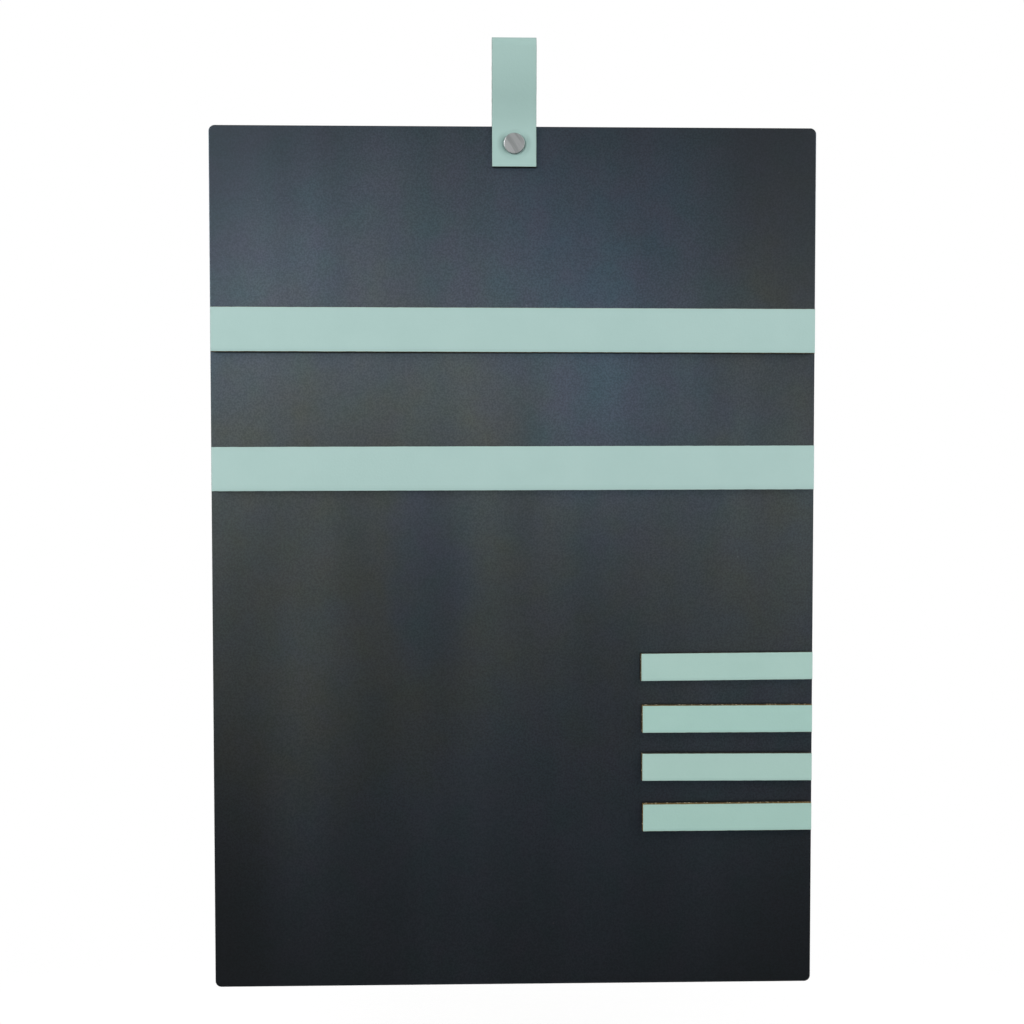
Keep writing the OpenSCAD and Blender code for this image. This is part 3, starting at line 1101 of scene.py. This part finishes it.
# Place of the camera from the middle of the sheet's top edge, its turn, its lens and its nearest sight
CAMERA_PLACE = (-23.29 * MM, -826.48 * MM, -190.46 * MM)
CAMERA_TURN = (math.radians(87.818), math.radians(0.0236), math.radians(-1.5274))
CAMERA_LENS = 50.0
CAMERA_SENSOR = 36.0
CAMERA_NEAR = 0.02

# The soft lights: where each stands, its width and height, and its radiance
SOFT_LIGHTS = {
    "left_light": ((-1.0, -0.85, 0.3), 0.6, 8.75),
    "right_light": ((1.1, -0.85, 0.3), 0.6, 7.8),
    "back_left_light": ((-1.4, 1.6, -0.3), 1.6, 4.0),
    "back_right_light": ((1.4, 1.6, -0.3), 1.6, 3.0),
}

# The room's window: the slant and height of its edge, its falls above and below the edge, its glow in the
# middle and the glow that it gains towards the left
WINDOW_SLANT = 0.234
WINDOW_EDGE = 0.098
WINDOW_FALL_ABOVE = 40.0
WINDOW_FALL_BELOW = 11.3
WINDOW_GLOW = 2.72
WINDOW_GAIN = 3.76

# The room's soft glows above, below and behind
GLOW_ABOVE = 0.4
GLOW_BELOW = 0.1
GLOW_BEHIND = 0.35
WHITE = (1.0, 1.0, 1.0, 1.0)

# The floor's rings and spokes, its inner and outer radius, and its depth below the sheet
FLOOR_RINGS = 24
FLOOR_SPOKES = 72
FLOOR_INNER = 0.02
FLOOR_OUTER = 2.2
FLOOR_DROP = 0.6


def set_camera(scene):
    """Places the camera and makes it the scene's own."""
    lens = bpy.data.cameras.new("camera")
    lens.lens = CAMERA_LENS
    lens.sensor_width = CAMERA_SENSOR
    lens.clip_start = CAMERA_NEAR
    camera = bpy.data.objects.new("camera", lens)
    scene.collection.objects.link(camera)
    camera.location = np.array(CAMERA_PLACE) + (0.0, 0.0, SHEET_HIGH[2])
    camera.rotation_euler = CAMERA_TURN
    scene.camera = camera


def soft_light(scene, name, place, side, glow):
    """A square soft light at a place, facing the sheet's middle, that glows with the given radiance."""
    light = bpy.data.lights.new(name, "AREA")
    light.shape = "RECTANGLE"
    light.size = side
    light.size_y = side
    light.energy = glow * side * side * math.pi
    lamp = bpy.data.objects.new(name, light)
    scene.collection.objects.link(lamp)
    facing = np.asarray(SHEET_MIDDLE, float) - np.asarray(place, float)
    level = math.hypot(facing[0], facing[1])
    pitch = math.atan2(level, -facing[2])
    yaw = math.atan2(-facing[0], facing[1])
    lamp.rotation_mode = "XYZ"
    lamp.rotation_euler = (pitch, 0.0, yaw)
    lamp.location = place
    lamp.visible_camera = False


def set_room(scene):
    """Makes a room that is white to the camera, and to all else glows in a window and softly around.

    The window is in front, slants, and is brighter to the left. At the height s over its edge its glow is
    e^(-a s) above the edge and e^(b s) below it, with the two falls for a and b.
    """
    world = bpy.data.worlds.new("room")
    scene.world = world
    world.use_nodes = True
    tree = world.node_tree
    tree.nodes.clear()
    way = tree.nodes.new("ShaderNodeTexCoord").outputs["Generated"]
    part = add(tree, "ShaderNodeSeparateXYZ", {0: way}).outputs
    slanted = worked(tree, "ADD", part["Z"], times(tree, part["X"], WINDOW_SLANT))
    over_edge = worked(tree, "SUBTRACT", slanted, WINDOW_EDGE)
    rising = times(tree, over_edge, WINDOW_FALL_ABOVE)
    falling = times(tree, over_edge, -WINDOW_FALL_BELOW)
    off = worked(tree, "MAXIMUM", rising, falling)
    band = worked(tree, "EXPONENT", times(tree, off, -1.0), 0.0)
    side = worked(tree, "SUBTRACT", WINDOW_GLOW, times(tree, part["X"], WINDOW_GAIN))
    window = times(tree, band, worked(tree, "MAXIMUM", side, 0.0))
    window = times(tree, window, ranged(tree, part["Y"], -0.6, 0.0, 1.0, 0.0))
    above = ranged(tree, part["Z"], 0.3, 0.75, 0.0, GLOW_ABOVE)
    below = ranged(tree, part["Z"], -0.3, -0.75, 0.0, GLOW_BELOW)
    behind = ranged(tree, part["Y"], -0.1, 0.5, 0.0, GLOW_BEHIND)
    around = worked(tree, "ADD", worked(tree, "ADD", above, below), behind)
    glow = worked(tree, "ADD", window, around)
    room = add(tree, "ShaderNodeBackground", {"Color": WHITE, "Strength": glow}).outputs[0]
    white = add(tree, "ShaderNodeBackground", {"Color": WHITE, "Strength": 1.0}).outputs[0]
    seen = tree.nodes.new("ShaderNodeLightPath").outputs["Is Camera Ray"]
    both = add(tree, "ShaderNodeMixShader", {0: seen, 1: room, 2: white}).outputs[0]
    add(tree, "ShaderNodeOutputWorld", {"Surface": both})


def set_floor(scene):
    """Lays a flat round floor: rings of points (r cos a, r sin a) below the sheet, filled in the middle."""
    rings = np.linspace(FLOOR_INNER, FLOOR_OUTER, FLOOR_RINGS)[:, None]
    angle = np.linspace(0.0, FULL_TURN, FLOOR_SPOKES, endpoint=False)
    level = np.full((FLOOR_RINGS, FLOOR_SPOKES), SHEET_LOW[2] - FLOOR_DROP)
    points = np.stack([rings * np.cos(angle), rings * np.sin(angle), level], axis=-1)
    mesh = bpy.data.meshes.new("studio_floor")
    faces = grid_quads(FLOOR_RINGS, FLOOR_SPOKES).tolist() + [np.arange(FLOOR_SPOKES)[::-1].tolist()]
    mesh.from_pydata(points.reshape(-1, 3).tolist(), [], faces)
    mesh.materials.append(pale_floor())
    floor = bpy.data.objects.new("studio_floor", mesh)
    scene.collection.objects.link(floor)
    floor.visible_glossy = False


class MEMO_OT_studio(bpy.types.Operator):
    """Sets the camera, the soft lights, the room's glow and the pale floor"""

    bl_idname = "memo_board.studio"
    bl_label = "Studio"

    def execute(self, context):
        """Sets each part of the studio, with colours shown as they are."""
        scene = context.scene
        scene.view_settings.view_transform = "Standard"
        set_camera(scene)
        for name, (place, side, glow) in SOFT_LIGHTS.items():
            soft_light(scene, name, place, side, glow)
        set_room(scene)
        set_floor(scene)
        return {"FINISHED"}


OPERATORS = (
    MEMO_OT_studio,
    MEMO_OT_steel_sheet,
    MEMO_OT_hanging_loop,
    MEMO_OT_screw_post,
    MEMO_OT_long_strips,
    MEMO_OT_short_strips,
    MEMO_OT_magnetic_tapes,
)


class MEMO_PT_board(bpy.types.Panel):
    """Lists the board's pieces in the sidebar"""

    bl_idname = "MEMO_PT_board"
    bl_label = "Memo board"
    bl_space_type = "VIEW_3D"
    bl_region_type = "UI"
    bl_category = "Memo board"

    def draw(self, context):
        """Lists the operators, then the sizes and the colours."""
        column = self.layout.column(align=True)
        for operator in OPERATORS:
            column.operator(operator.bl_idname)
        for group in (context.scene.memo_sizes, context.scene.memo_colours):
            box = self.layout.box()
            for name in group.__annotations__:
                box.prop(group, name)


CLASSES = (MemoBoardSizes, MemoBoardColours, *OPERATORS, MEMO_PT_board)


def register():
    """Registers the classes and hangs the two groups of values on the scene."""
    for entry in CLASSES:
        bpy.utils.register_class(entry)
    bpy.types.Scene.memo_sizes = PointerProperty(type=MemoBoardSizes)
    bpy.types.Scene.memo_colours = PointerProperty(type=MemoBoardColours)


def unregister():
    """Takes the groups and the classes away again."""
    del bpy.types.Scene.memo_colours
    del bpy.types.Scene.memo_sizes
    for entry in reversed(CLASSES):
        bpy.utils.unregister_class(entry)


def main():
    register()
    bpy.ops.memo_board.studio()
    bpy.ops.memo_board.steel_sheet()
    bpy.ops.memo_board.hanging_loop()
    bpy.ops.memo_board.screw_post()
    bpy.ops.memo_board.long_strips()
    bpy.ops.memo_board.short_strips()
    bpy.ops.memo_board.magnetic_tapes()


if __name__ == "__main__":
    main()
